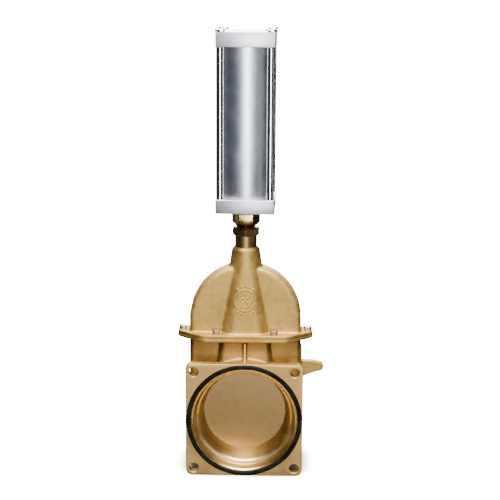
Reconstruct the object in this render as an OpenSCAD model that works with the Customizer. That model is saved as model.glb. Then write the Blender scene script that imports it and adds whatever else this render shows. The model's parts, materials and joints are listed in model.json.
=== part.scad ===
/* [Ports and flanges] */
// Length over the two flange faces
face_to_face = 94; // [88:1:120]
// Diameter of the clear port at the seat
port_d = 91; // [80:0.5:110]
// How much the throat widens from the seat to the entry bore, on the radius
port_taper = 5; // [1:0.25:8]
// Length of the straight land at the seat
seat_land = 4; // [2:0.25:8]
// Step from the throat out to the entry bore, on the radius
entry_step = 5.5; // [3:0.25:9]
// Depth of the entry bore
entry_depth = 14; // [8:0.5:18]
// Chamfer between the entry bore's step and the throat
port_chamfer = 2; // [0.5:0.25:2.5]
// Chamfer at the mouth of the entry bore
mouth_chamfer = 1.4; // [0.2:0.1:2]
// Land between the entry bore and the O-ring groove
groove_land = 2.4; // [2.1:0.1:6]
// Section of the flange O-rings
face_ring_d = 4.8; // [3:0.1:5.5]
// How far the flange O-rings stand proud of the faces
face_ring_proud = 1; // [0.4:0.1:1.5]
// Edge of the flange beyond the O-ring groove
flange_edge = 0.5; // [0.5:0.1:15]
// Thickness of each square flange
flange_t = 10; // [7:0.5:12]
// Radius of the upper flange corners
flange_corner_r = 6; // [3:0.5:9]
// Chamfer of the lower flange corners
flange_chamfer = 7; // [3:0.5:9]
// Inset of the bolt holes from the flange edges
hole_inset = 9; // [8:0.25:12]
// Diameter of the flange bolt holes
hole_d = 10.5; // [6.5:0.5:11]
// How far the barrel lies inside the groove's diameter, on the radius
barrel_inset = 0.5; // [0:0.1:1]

/* [Gate] */
// How far the gate discs reach past the seat rings, on the radius
gate_overlap = 4.4; // [2:0.1:8]
// Thickness of one gate disc
disc_t = 7; // [6.5:0.1:8]
// Distance over the outer faces of both discs
pack_t = 18; // [17.5:0.1:20]
// Lift of the gate beyond the clear port
stroke_spare = 5; // [1:0.5:12]
// Diameter of the stem, which is also the piston rod
stem_d = 12; // [8:0.5:12]
// Diameter of the stem's threaded ends
stem_end_d = 10; // [5:0.5:10]
// Height of the crosshead's foot above the discs' spring
carrier_rise = 8; // [2:0.5:12]
// Width of the crosshead
carrier_w = 26; // [16:0.5:32]
// Depth of the crosshead along the port
carrier_y = 13; // [12.5:0.1:13.4]
// Height of the crosshead
carrier_h = 12; // [8:0.5:14]
// Diameter of the crosshead's pin
carrier_pin_d = 3; // [2:0.25:4]
// Outer diameter of the springs between the discs
spring_od = 36; // [26:0.5:40]
// Inner diameter of the springs between the discs
spring_id = 18; // [10:0.5:22]
// Sheet thickness of the springs
spring_t = 1.6; // [0.8:0.1:2]
// Depth of the spring seat in each disc
spring_seat = 3; // [2:0.1:3.5]

/* [Housing] */
// Side wall of the flat housing
side_wall = 5.5; // [5.1:0.1:9]
// Front and rear wall of the flat housing
face_wall = 4.6; // [3:0.1:7]
// Radius along the housing's edges
housing_edge_r = 5; // [2:0.25:7]
// Clearance below the gate discs when shut
cavity_gap = 0.3; // [0.2:0.05:1]
// Clearance beside the gate discs
side_gap = 1.5; // [0.5:0.1:3]
// Clearance in front of the gate discs and behind them
pack_gap = 0.4; // [0.2:0.05:1]
// Height of the bonnet joint above the barrel
joint_rise = 23.7; // [18:0.1:34]
// Thickness of each bonnet joint flange
joint_flange_t = 3.55; // [2.5:0.05:6]
// Width of the joint flanges beyond the swelling
joint_lip = 5; // [3:0.25:9]
// Radius of the joint flanges' corners
joint_corner_r = 18; // [12:0.5:20]
// Radius of the end ears on the joint flanges
ear_r = 11; // [8:0.5:11.5]
// How far the ears' centres lie inside the end bolts
ear_back = 5; // [2:0.25:6]
// Thickness of the bonnet gasket
gasket_t = 0.3; // [0.2:0.1:1.5]
// How far the gasket stays inside the joint flanges' edge
gasket_inset = 1.5; // [0:0.25:2]
// Half width of the swelling round the stem, at the joint
bulge_half_w = 27; // [24:0.5:32]
// How far the swelling stands out from the flat housing
bulge_out = 9; // [5:0.25:9.5]
// Radius of the swelling's corners
bulge_r = 15; // [6:0.5:18]
// Radius of the swelling's corners below the joint
skirt_r = 6; // [4:0.5:12]
// Wall of the swelling
bulge_wall = 6; // [4:0.25:9]
// How much wider the swelling is at the barrel
bulge_spread = 3; // [0:0.25:5]
// Thickness of the ribs between joint and flanges
rib_t = 3.2; // [2:0.1:6]
// Wall between the port and the seat rings
seat_wall = 1.6; // [1:0.1:3]
// Width of the seat rings
seat_w = 3; // [1.5:0.1:4]
// Depth of the seat ring recess
seat_depth = 2.4; // [1.5:0.1:3]

/* [Side ear] */
// Reach of the side ear beyond the housing
lug_out = 26; // [16:0.5:50]
// Thickness of the side ear
lug_t = 8; // [5:0.5:14]
// Radius of the side ear's tip
lug_tip_r = 5.5; // [3:0.5:8]
// Length of the side ear's rounding into its tip
lug_round = 6; // [3:0.5:10]
// Height of the side ear's tip
lug_z = 49; // [44:0.5:52]
// Height of the side ear at its root
lug_root_h = 21; // [14:0.5:26]

/* [Joint bolts] */
// Diameter of the joint bolts
bolt_d = 5; // [3:0.5:5]
// Width across flats of the bolt heads
bolt_af = 8; // [6:0.5:8]
// Height of the bolt heads
bolt_head_h = 3.5; // [2:0.1:5]
// How far the bolts stick out below the joint
bolt_over = 2.2; // [0.5:0.1:5]
// Thickness of the washers
washer_t = 1.1; // [0.5:0.1:2]
// Place of the end bolts beyond the housing's sides
end_bolt_out = 7.5; // [6:0.25:9]
// Place of the front and rear bolts beside the swelling
side_bolt_out = 4.5; // [4.4:0.1:9]
// Place of the front and rear bolts in front of the flat housing
face_bolt_out = 4.8; // [4.6:0.1:6]

/* [Stem seal] */
// Height of the neck
neck_h = 18.8; // [17:0.2:26]
// Radius of the neck's foot
neck_foot_r = 17.7; // [16:0.1:20]
// Radius of the neck's shoulder
neck_r = 15.4; // [14:0.1:16]
// Height of the neck's shoulder chamfer
neck_chamfer = 2.8; // [1:0.1:4]
// Radius of the packing box
box_r = 10; // [8:0.1:11]
// Floor between the cavity and the packing box
box_floor = 4.5; // [3:0.25:6]
// Number of packing rings
packing_count = 3; // [1:1:3]
// Height of one packing ring
packing_h = 3.2; // [2:0.1:3.6]
// Height of the packing follower
follower_h = 3; // [2:0.1:4]
// Radius of the gland nut's round part
gland_r = 12.15; // [11.5:0.05:12.5]
// Height of the gland nut's round part
gland_h = 12.3; // [8:0.1:20]
// Width across flats of the gland nut
gland_af = 29; // [26:0.5:32]
// Height of the gland nut's hexagon
gland_hex_h = 9.3; // [6:0.1:14]

/* [Cylinder] */
// Turn of the cylinder about the stem, as screwed up, in degrees
cylinder_turn = 1.5; // [0:0.25:5]
// Width across flats of the adapter
adapter_af = 27; // [24:0.5:29]
// Height of the adapter's hexagon
adapter_hex_h = 9.6; // [6:0.1:16]
// Height of the adapter's cone
adapter_cone_h = 5.6; // [3:0.1:8]
// Radius of the adapter's threads
adapter_r = 9.5; // [8.5:0.1:10]
// Edge of the square caps beyond the tie rods
cap_edge = 4.75; // [4.25:0.25:8]
// Thickness of the lower cap
lower_cap_t = 15; // [14:0.5:22]
// Thickness of the upper cap
upper_cap_t = 16.2; // [14:0.1:24]
// Chamfer along the caps' edges
cap_chamfer = 1; // [0.3:0.1:2]
// Radius of the boss below the lower cap
boss_r = 17.5; // [13:0.25:20]
// Height of the boss below the lower cap
boss_h = 3.7; // [1:0.1:8]
// Bore of the cylinder tube
bore_d = 48; // [44:0.5:48]
// Wall of the cylinder tube
tube_wall = 2; // [1.5:0.1:2.2]
// Free height above the piston nut when the gate is open
top_spare = 13.7; // [4:0.1:40]
// Depth of the tube's seat in each cap
tube_seat = 3; // [2:0.1:4]
// Thickness of the tube seals
tube_seal_t = 1; // [0.5:0.1:1.5]
// Diameter of the tie rods
tie_rod_d = 8.5; // [6.5:0.25:9.5]
// Diameter of the tie rods' threaded ends
tie_end_d = 6; // [4:0.5:6]
// Place of the tie rods beyond the tube's side
tie_rod_out = 0.75; // [0:0.25:4]
// Width across flats of the tie rod nuts
tie_nut_af = 10; // [8:0.5:10]
// Height of the tie rod nuts
tie_nut_h = 2.4; // [2:0.1:6]
// Height of the rod seal
rod_seal_h = 3.5; // [2:0.1:4]
// Tapping diameter of the air ports
air_port_d = 8.8; // [5:0.1:9]
// Depth of the air ports
air_port_depth = 9; // [7:0.5:10]

/* [Piston] */
// Height of the piston
piston_h = 30; // [26:0.5:34]
// Gap between piston and lower bumper when the gate is shut
piston_rest_gap = 8; // [3:0.5:12]
// Height of each piston seal
piston_seal_h = 5; // [3:0.25:6]
// Height of the piston guide ring
guide_h = 5; // [3:0.25:7]
// Thickness of the bumpers
bumper_t = 3; // [2:0.1:4]
// Width across flats of the piston nut
piston_nut_af = 17; // [14:0.5:19]
// Height of the piston nut
piston_nut_h = 6; // [4:0.25:10]
// How far the stem sticks out above the piston nut
stem_over = 1.5; // [0.5:0.1:4]

/* [Hidden] */
$fn = 96;

// Smallest overlap between pieces of one solid
eps = 0.01;
// Radial clearance of a running fit
fit = 0.05;
// Clearance of a loose fit
loose = 0.3;
// Fine gap between faces that slide on each other
slide_gap = 0.02;
// Chamfer of the hexagons, as a share of their width across flats
hex_chamfer = 0.065;
// Facets round a lofted form
loft_fn = 48;
// Colours of the finishes
cast_brass = [0.79, 0.67, 0.48];
turned_brass = [0.67, 0.53, 0.38];
bright_brass = [0.85, 0.68, 0.38];
dark_brass = [0.40, 0.34, 0.24];
grey_alloy = [0.82, 0.83, 0.86];
tube_alloy = [0.70, 0.74, 0.78];
bright_steel = [0.85, 0.86, 0.88];
black_rubber = [0.06, 0.05, 0.05];
pale_polymer = [0.90, 0.89, 0.85];
fibre = [0.35, 0.33, 0.30];

stem_y = face_to_face / 2;
port_r = port_d / 2;
throat_r = port_r + port_taper;
entry_r = throat_r + entry_step;
// Play of the O-rings at each side of their grooves
ring_play = 0.15;
groove_in = entry_r + groove_land;
groove_r = groove_in + face_ring_d + 2 * ring_play;
groove_depth = face_ring_d - face_ring_proud;
flange_half = groove_r + flange_edge;
hole_x = flange_half - hole_inset;
barrel_r = groove_r - barrel_inset;

seat_in = port_r + seat_wall;
seat_out = seat_in + seat_w;
gate_r = seat_out + gate_overlap;
pack_half = pack_t / 2;
disc_gap = pack_t - 2 * disc_t;
cavity_half = pack_half + pack_gap;
cavity_r = gate_r + cavity_gap;
cavity_side = gate_r + side_gap;
seat_y = stem_y - cavity_half;
stroke = gate_r + port_r + stroke_spare;
stem_r = stem_d / 2;
stem_end_r = stem_end_d / 2;
spring_r = spring_od / 2;
carrier_z = spring_r + carrier_rise;

housing_half = cavity_side + side_wall;
housing_t = cavity_half + face_wall;
bulge_half_d = housing_t + bulge_out;
// Depth to which the swelling's foot sinks into the barrel
bulge_sink = 14;
joint_z = barrel_r + joint_rise;
joint_top = joint_z + gasket_t;
bonnet_flange_top = joint_top + joint_flange_t;
joint_half = bulge_half_d + joint_lip;
end_bolt_x = housing_half + end_bolt_out;
side_bolt_x = bulge_half_w + side_bolt_out;
side_bolt_y = housing_t + face_bolt_out;
ear_x = end_bolt_x - ear_back;
// How far the ears' centres lie outside the flanges' straight sides
ear_step = 4;
dome_z = stroke;
cavity_top = dome_z + cavity_side;
// Height over which the stem's hollow stays round below the cavity's top
hollow_top = 12;
neck_foot_z = dome_z + housing_half + 0.5;
neck_z = neck_foot_z + neck_h;
box_z = cavity_top + box_floor;
packing_top = box_z + packing_count * packing_h;
follower_top = packing_top + follower_h;
gland_hex_z = neck_z + gland_h;
gland_top = gland_hex_z + gland_hex_h;
// Depth of the gland nut's socket for the adapter
gland_socket = 8.4;

adapter_foot = gland_top - gland_socket;
// Gap between gland nut and adapter hexagon
adapter_gap = 0.2;
adapter_cone_z = gland_top + adapter_gap;
adapter_hex_z = adapter_cone_z + adapter_cone_h;
boss_z = adapter_hex_z + adapter_hex_h;
lower_cap_z = boss_z + boss_h;
lower_cap_top = lower_cap_z + lower_cap_t;
lower_floor = lower_cap_top - tube_seat;
piston_z = lower_floor + bumper_t + piston_rest_gap;
piston_top = piston_z + piston_h;
stem_top = piston_top + piston_nut_h + stem_over;
upper_floor = stem_top + stroke + top_spare;
upper_cap_z = upper_floor - tube_seat;
upper_cap_top = upper_cap_z + upper_cap_t;
// Length of the adapter's upper thread
adapter_thread = 7.2;
adapter_top = boss_z + adapter_thread;
bore_r = bore_d / 2;
tube_r = bore_r + tube_wall;
tie_rod_x = tube_r + tie_rod_out;
cap_half = tie_rod_x + cap_edge;
tie_rod_r = tie_rod_d / 2;
tie_end_r = tie_end_d / 2;
// Length of the tie rods' threads in the lower cap
tie_thread = 9;
// Walls of the rod bush and the rod seal
bush_wall = 2;
seal_wall = 3;
bush_r = stem_r + bush_wall;
seal_r = stem_r + seal_wall;
seal_z = adapter_top;
bush_z = seal_z + rod_seal_h;
// Edges left round the bumpers
bumper_in = bush_r + 2;
bumper_out = bore_r - 4;
air_port_r = air_port_d / 2;
// Air passages from the ports into the tube
passage_r = 2;
passage_y = bore_r - passage_r - 0.5;

// Clearance of the piston's body in the tube
piston_gap = 0.4;
piston_r = bore_r - piston_gap;
// Depth of the seal grooves and the guide's groove in the piston
ring_depth = 4.5;
guide_depth = 2.5;
ring_in = bore_r - ring_depth;
guide_in = bore_r - guide_depth;
piston_land = (piston_h - 2 * piston_seal_h - guide_h) / 4;
lower_seal_z = piston_z + piston_land;
guide_z = lower_seal_z + piston_seal_h + piston_land;
upper_seal_z = guide_z + guide_h + piston_land;
carrier_top = carrier_z + carrier_h;
pin_z = carrier_z + carrier_h / 2;

// Moves a shape from the port's axis onto the stem's axis
module on_stem() { translate([0, stem_y, 0]) children(); }

// Lays a shape drawn upwards along the port, starting at y
module along_port(y) { translate([0, y, 0]) rotate([-90, 0, 0]) children(); }

// The same shape on both flange sides
module both_sides() {
    children();
    translate([0, face_to_face, 0]) mirror([0, 1, 0]) children();
}

// A ring of rectangular section
module ring(r_out, r_in, h) {
    rotate_extrude() translate([r_in, 0]) square([r_out - r_in, h]);
}

// A hexagon prism with both ends chamfered round, or only the far one
module hexagon(af, h, both = true) {
    r = af / 2 / cos(30);
    chamfer = hex_chamfer * af;
    foot = both ? chamfer : 0;
    intersection() {
        cylinder(r = r, h = h, $fn = 6);
        rotate_extrude() polygon([[0, 0], [r - 2 * foot, 0], [r, foot], [r, h - chamfer],
            [r - 2 * chamfer, h], [0, h]]);
    }
}

// A flat outline with round corners
module round_rect(half_x, half_y, r) {
    square([2 * half_x, 2 * (half_y - r)], center = true);
    square([2 * (half_x - r), 2 * half_y], center = true);
    for (x = [-1, 1], y = [-1, 1])
        translate([x * (half_x - r), y * (half_y - r)]) circle(r = r);
}

// The flat housing from one height to another
module slab_run(half_x, half_y, r, z_low, z_high) {
    translate([0, 0, z_low]) linear_extrude(z_high - z_low) round_rect(half_x, half_y, r);
}

// The flat housing's round end, a disc with round edges about the port's direction
module slab_disc(radius, half_y, r, z) {
    translate([0, 0, z]) rotate([90, 0, 0]) rotate_extrude() {
        translate([0, -half_y]) square([radius - r, 2 * half_y]);
        translate([0, r - half_y]) square([radius, 2 * (half_y - r)]);
        for (y = [-1, 1]) translate([radius - r, y * (half_y - r)]) circle(r = r, $fn = 32);
    }
}

// A thin slice of the swelling, as the end of a loft
module bulge_slice(half_x, half_y, r, z) {
    translate([0, 0, z]) linear_extrude(eps) hull()
        for (x = [-1, 1], y = [-1, 1])
            translate([x * (half_x - r), y * (half_y - r)]) circle(r = r, $fn = loft_fn);
}

// Plate of the joint flanges' outline, drawn in by inset for their gasket
module joint_plate(h, inset = 0) {
    side = ear_x - ear_step - inset;
    r = joint_corner_r - inset;
    end_r = ear_r - inset;
    corner = [side - r, joint_half - inset - r];
    reach = [ear_x, 0] - corner;
    lean = atan2(reach[1], reach[0]) + acos((r - end_r) / norm(reach));
    near = corner + (r - eps) * [cos(lean), sin(lean)];
    far = [ear_x, 0] + (end_r - eps) * [cos(lean), sin(lean)];
    q = [[corner[0], joint_half - inset - eps], near, far];
    back = [2, 1, 0];
    union() {
        linear_extrude(h)
            polygon(concat(q, [for (i = back) [q[i][0], -q[i][1]]], -q, [for (i = back) [-q[i][0], q[i][1]]]));
        for (x = [-1, 1]) translate([x * ear_x, 0, 0]) cylinder(r = end_r, h = h);
        for (x = [-1, 1], y = [-1, 1]) translate([x * corner[0], y * corner[1], 0]) cylinder(r = r, h = h);
    }
}

// Outline of the cavity at the joint
module cavity_outline() {
    square([2 * cavity_side, 2 * cavity_half], center = true);
    round_rect(bulge_half_w - bulge_wall, bulge_half_d - bulge_wall, bulge_r - bulge_wall);
}

// Places of the joint bolts about the stem
module at_joint_bolts() {
    for (x = [-1, 1]) translate([x * end_bolt_x, 0, 0]) children();
    for (x = [-1, 1], y = [-1, 1]) translate([x * side_bolt_x, y * side_bolt_y, 0]) children();
}

module joint_bolt_holes(z, h, gap) {
    at_joint_bolts() translate([0, 0, z]) cylinder(r = bolt_d / 2 + gap, h = h);
}

// Square flange with round upper and chamfered lower corners
module flange_outline() {
    h = flange_half;
    r = flange_corner_r;
    c = flange_chamfer;
    polygon([[-h, r - h], [-h, h - c], [c - h, h], [h - c, h], [h, h - c], [h, r - h],
        [h - r, -h], [r - h, -h]]);
    for (x = [-1, 1]) translate([x * (h - r), r - h]) circle(r = r);
}

module square_flange() {
    linear_extrude(flange_t) difference() {
        flange_outline();
        for (x = [-1, 1], y = [-1, 1])
            translate([x, y] * hole_x) circle(d = hole_d);
    }
}

// Bores, groove and seat recess cut from one flange side
module port_cuts() {
    mouth_r = entry_r + mouth_chamfer;
    along_port(0) rotate_extrude() polygon([[0, -1], [mouth_r, -1], [mouth_r, 0], [entry_r, mouth_chamfer],
        [entry_r, entry_depth], [throat_r + port_chamfer, entry_depth],
        [throat_r, entry_depth + port_chamfer], [port_r, seat_y - seat_land], [port_r, seat_y + eps],
        [0, seat_y + eps]]);
    along_port(-1) ring(groove_r, groove_in, groove_depth + 1);
    along_port(seat_y - seat_depth) ring(seat_out + fit, seat_in - fit, seat_depth + eps);
}

// Rib from the flange up to the joint flange
module rib() {
    root = stem_y - bulge_half_d + 2;
    rim = stem_y - joint_half + 2;
    foot = barrel_r - 3;
    translate([-rib_t / 2, 0, 0]) rotate([90, 0, 90]) linear_extrude(rib_t)
        polygon([[flange_t - 1, foot], [flange_t - 1, flange_half - 2], [flange_t, flange_half - 1],
            [rim, joint_z - joint_flange_t + eps], [root, joint_z - joint_flange_t + eps], [root, foot]]);
}

// Undrilled ear at the right of the body
module side_ear() {
    tip_x = housing_half + lug_out - lug_tip_r;
    root_x = cavity_side + 2;
    top = lug_z + lug_tip_r + 2;
    on_stem() translate([0, lug_t / 2, 0]) rotate([90, 0, 0]) linear_extrude(lug_t) {
        polygon([[root_x, top - lug_root_h], [root_x, top], [tip_x - lug_round, top - 0.5],
            [tip_x + 2, lug_z + lug_tip_r - 0.4], [tip_x + 2, lug_z - lug_tip_r + 0.4],
            [tip_x - 2, lug_z - lug_tip_r]]);
        translate([tip_x, lug_z]) circle(r = lug_tip_r);
    }
}

module valve_body() {
    body_top = joint_z;
    rim_z = joint_z - joint_flange_t;
    color(cast_brass) difference() {
        union() {
            along_port(flange_t / 2) cylinder(r = barrel_r, h = face_to_face - flange_t);
            both_sides() along_port(0) square_flange();
            on_stem() {
                slab_run(housing_half, housing_t, housing_edge_r, 0, body_top);
                slab_disc(housing_half, housing_t, housing_edge_r, 0);
                hull() {
                    bulge_slice(bulge_half_w, bulge_half_d, skirt_r, rim_z);
                    bulge_slice(bulge_half_w + bulge_spread, bulge_half_d, skirt_r, barrel_r - bulge_sink);
                }
                translate([0, 0, rim_z]) joint_plate(joint_flange_t);
            }
            both_sides() rib();
            side_ear();
        }
        both_sides() port_cuts();
        on_stem() {
            slab_disc(cavity_r, cavity_half, 1, 0);
            slab_run(cavity_side, cavity_half, 1, 0, body_top + 1);
            translate([0, 0, barrel_r]) linear_extrude(body_top) cavity_outline();
            joint_bolt_holes(rim_z - 1, joint_flange_t + 2, fit);
        }
    }
}

module bonnet() {
    color(cast_brass) on_stem() difference() {
        union() {
            translate([0, 0, joint_top]) joint_plate(joint_flange_t);
            slab_run(housing_half, housing_t, housing_edge_r, joint_top, dome_z);
            slab_disc(housing_half, housing_t, housing_edge_r, dome_z);
            hull() {
                bulge_slice(bulge_half_w, bulge_half_d, bulge_r, bonnet_flange_top - eps);
                translate([0, 0, neck_foot_z]) cylinder(r = neck_foot_r, h = eps, $fn = loft_fn);
            }
            translate([0, 0, neck_foot_z])
                cylinder(r1 = neck_foot_r, r2 = neck_r, h = neck_z - neck_chamfer - neck_foot_z);
            translate([0, 0, neck_z - neck_chamfer])
                cylinder(r1 = neck_r, r2 = gland_r + 0.45, h = neck_chamfer);
        }
        translate([-neck_z, -neck_z, joint_top - 2 * neck_z])
            cube(2 * neck_z);
        slab_run(cavity_side, cavity_half, 1, joint_top - 1, dome_z);
        slab_disc(cavity_side, cavity_half, 1, dome_z);
        hull() {
            bulge_slice(bulge_half_w - bulge_wall, bulge_half_d - bulge_wall, bulge_r - bulge_wall,
                joint_top - eps);
            translate([0, 0, cavity_top - hollow_top]) cylinder(r = stem_r + 3, h = eps, $fn = loft_fn);
        }
        translate([0, 0, dome_z]) cylinder(r = stem_r + fit, h = neck_z);
        translate([0, 0, box_z]) cylinder(r = box_r, h = neck_z);
        joint_bolt_holes(joint_top - 1, joint_flange_t + 2, loose);
    }
}

module bonnet_gasket() {
    color(fibre) on_stem() difference() {
        translate([0, 0, joint_z]) joint_plate(gasket_t, gasket_inset);
        translate([0, 0, joint_z - 1]) linear_extrude(gasket_t + 2) cavity_outline();
        joint_bolt_holes(joint_z - 1, gasket_t + 2, loose);
    }
}

module face_ring() {
    along_port(groove_depth - face_ring_d / 2 - slide_gap) rotate_extrude()
        translate([(groove_r + groove_in) / 2, 0]) circle(d = face_ring_d, $fn = 48);
}

module front_flange_o_ring() { color(black_rubber) face_ring(); }

module rear_flange_o_ring() {
    color(black_rubber) translate([0, face_to_face, 0]) mirror([0, 1, 0]) face_ring();
}

module seat_ring() {
    along_port(seat_y - seat_depth) ring(seat_out, seat_in, seat_depth + pack_gap - slide_gap);
}

module front_seat_ring() { color(pale_polymer) seat_ring(); }

module rear_seat_ring() {
    color(pale_polymer) translate([0, face_to_face, 0]) mirror([0, 1, 0]) seat_ring();
}

module joint_bolts() {
    head_z = bonnet_flange_top + washer_t;
    shank = head_z - joint_z + joint_flange_t + bolt_over;
    color(bright_steel) on_stem() at_joint_bolts() {
        translate([0, 0, head_z]) hexagon(bolt_af, bolt_head_h, false);
        translate([0, 0, head_z - shank]) cylinder(r = bolt_d / 2, h = shank + eps, $fn = 32);
    }
}

module joint_washers() {
    color(bright_steel) on_stem() at_joint_bolts()
        translate([0, 0, bonnet_flange_top]) ring(bolt_af / 2 + 0.4, bolt_d / 2 + fit, washer_t);
}

module gland_nut() {
    shank_r = box_r - fit;
    color(dark_brass) on_stem() difference() {
        union() {
            translate([0, 0, follower_top]) cylinder(r = shank_r, h = neck_z - follower_top + eps);
            translate([0, 0, neck_z]) cylinder(r = gland_r, h = gland_h + eps);
            translate([0, 0, gland_hex_z]) rotate([0, 0, 30]) hexagon(gland_af, gland_hex_h);
        }
        translate([0, 0, follower_top - 1]) cylinder(r = stem_r + loose, h = gland_top);
        translate([0, 0, adapter_foot]) cylinder(r = adapter_r, h = gland_top);
    }
}

module packing_follower() {
    color(turned_brass) on_stem() translate([0, 0, packing_top])
        ring(box_r - fit, stem_r + fit, follower_h);
}

// Chevron rings, each nesting on the one below
module packing_rings() {
    r_in = stem_r + fit;
    r_out = box_r - fit;
    mid = (r_in + r_out) / 2;
    dip = 0.8;
    h = packing_h - slide_gap;
    color(pale_polymer) on_stem() for (i = [0 : packing_count - 1])
        translate([0, 0, box_z + i * packing_h]) rotate_extrude()
            polygon([[r_in, 0], [mid, i == 0 ? 0 : dip], [r_out, 0], [r_out, h],
                [mid, h + (i == packing_count - 1 ? 0 : dip)], [r_in, h]]);
}

module cylinder_adapter() {
    color(bright_brass) on_stem() difference() {
        union() {
            translate([0, 0, adapter_foot])
                cylinder(r = adapter_r - fit, h = adapter_cone_z - adapter_foot + eps);
            intersection() {
                translate([0, 0, adapter_cone_z])
                    cylinder(r = adapter_af / 2 / cos(30), h = boss_z - adapter_cone_z, $fn = 6);
                translate([0, 0, adapter_cone_z]) rotate_extrude()
                    polygon([[0, 0], [adapter_r, 0], [adapter_af / 2 / cos(30) + 0.1, adapter_cone_h],
                        [adapter_af, adapter_cone_h], [adapter_af, boss_z - adapter_cone_z],
                        [0, boss_z - adapter_cone_z]]);
            }
            translate([0, 0, boss_z - eps])
                cylinder(r = adapter_r - fit, h = adapter_thread + eps);
        }
        translate([0, 0, adapter_foot - 1]) cylinder(r = stem_r + loose, h = adapter_top);
    }
}

// Places of the tie rods about the stem
module at_tie_rods() {
    for (x = [-1, 1], y = [-1, 1]) translate([x, y, 0] * tie_rod_x) children();
}

// Turns a piece of the cylinder about the stem, as it is screwed up
module on_cylinder() { on_stem() rotate([0, 0, -cylinder_turn]) children(); }

// A square block with chamfered edges all round
module cap_block(h) {
    c = cap_chamfer;
    s = cap_half;
    flat = [[-s, c], [c - s, 0], [s - c, 0], [s, c], [s, h - c], [s - c, h], [c - s, h], [-s, h - c]];
    intersection() {
        linear_extrude(h) polygon([[-s, c - s], [c - s, -s], [s - c, -s], [s, c - s],
            [s, s - c], [s - c, s], [c - s, s], [-s, s - c]]);
        translate([0, s, 0]) rotate([90, 0, 0]) linear_extrude(2 * s) polygon(flat);
        translate([-s, 0, 0]) rotate([90, 0, 90]) linear_extrude(2 * s) polygon(flat);
    }
}

// Air port in the rear face, with its passage into the cylinder at z
module air_port(z, passage_z) {
    translate([0, cap_half + 1, z]) rotate([90, 0, 0]) cylinder(r = air_port_r, h = air_port_depth + 1);
    translate([0, passage_y, min(z, passage_z)]) cylinder(r = passage_r, h = abs(passage_z - z), $fn = 32);
}

module lower_cap() {
    color(grey_alloy) on_cylinder() difference() {
        union() {
            translate([0, 0, lower_cap_z]) cap_block(lower_cap_t);
            translate([0, 0, boss_z]) cylinder(r = boss_r, h = boss_h + 1);
        }
        translate([0, 0, lower_floor]) cylinder(r = tube_r + fit, h = tube_seat + 1);
        translate([0, 0, boss_z - 1]) cylinder(r = adapter_r, h = adapter_thread + 1);
        translate([0, 0, seal_z - eps]) cylinder(r = seal_r, h = bush_z - seal_z + eps);
        translate([0, 0, bush_z - eps]) cylinder(r = bush_r, h = lower_cap_t);
        at_tie_rods() translate([0, 0, lower_cap_top - tie_thread - 1])
            cylinder(r = tie_end_r + fit, h = tie_thread + 2);
        air_port(lower_cap_z + lower_cap_t / 2, lower_floor + 1);
    }
}

module upper_cap() {
    color(grey_alloy) on_cylinder() difference() {
        translate([0, 0, upper_cap_z]) cap_block(upper_cap_t);
        translate([0, 0, upper_cap_z - 1]) cylinder(r = tube_r + fit, h = tube_seat + 1);
        at_tie_rods() translate([0, 0, upper_cap_z - 1]) cylinder(r = tie_end_r + loose, h = upper_cap_t + 2);
        air_port(upper_cap_z + upper_cap_t / 2, upper_floor - 1);
    }
}

module cylinder_tube() {
    foot = lower_floor + tube_seal_t;
    color(tube_alloy) on_cylinder() translate([0, 0, foot])
        ring(tube_r, bore_r, upper_floor - tube_seal_t - foot);
}

module tube_seals() {
    color(black_rubber) on_cylinder() {
        translate([0, 0, lower_floor]) ring(tube_r, bore_r, tube_seal_t);
        translate([0, 0, upper_floor - tube_seal_t]) ring(tube_r, bore_r, tube_seal_t);
    }
}

module tie_rods() {
    foot = lower_cap_top - tie_thread;
    color(bright_steel) on_cylinder() at_tie_rods() {
        translate([0, 0, lower_cap_top]) cylinder(r = tie_rod_r, h = upper_cap_z - lower_cap_top);
        translate([0, 0, foot]) cylinder(r = tie_end_r, h = upper_cap_top + tie_nut_h - foot);
    }
}

module tie_rod_nuts() {
    color(bright_steel) on_cylinder() at_tie_rods() translate([0, 0, upper_cap_top]) difference() {
        hexagon(tie_nut_af, tie_nut_h, false);
        translate([0, 0, -1]) cylinder(r = tie_end_r + fit, h = tie_nut_h + 2);
    }
}

module rod_bush() {
    color(turned_brass) on_cylinder() translate([0, 0, bush_z])
        ring(bush_r - slide_gap, stem_r + fit, lower_floor - bush_z);
}

module rod_seal() {
    color(black_rubber) on_cylinder() translate([0, 0, seal_z])
        ring(seal_r - slide_gap, stem_r + fit, bush_z - seal_z);
}

module bumper(z) { translate([0, 0, z]) ring(bumper_out, bumper_in, bumper_t); }

module lower_bumper() { color(black_rubber) on_cylinder() bumper(lower_floor); }

module upper_bumper() { color(black_rubber) on_cylinder() bumper(upper_floor - bumper_t); }

// Front gate disc, with its slot for the stem and its seats for carrier and spring
module gate_disc() {
    inner = disc_gap / 2;
    difference() {
        translate([0, -inner, 0]) rotate([90, 0, 0]) rotate_extrude()
            polygon([[0, 0], [gate_r, 0], [gate_r, disc_t - 1], [gate_r - 1, disc_t], [0, disc_t]]);
        translate([0, -inner + eps, 0]) rotate([90, 0, 0]) cylinder(r = spring_r + loose, h = spring_seat);
        translate([-carrier_w / 2 - loose, -carrier_y / 2 - 0.15, carrier_z - loose])
            cube([carrier_w + 2 * loose, carrier_y, carrier_h + 2 * loose]);
        translate([0, 0, carrier_z]) cylinder(r = stem_r + loose, h = gate_r);
    }
}

module front_gate_disc() { color(turned_brass) on_stem() gate_disc(); }

module rear_gate_disc() { color(turned_brass) on_stem() mirror([0, 1, 0]) gate_disc(); }

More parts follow.
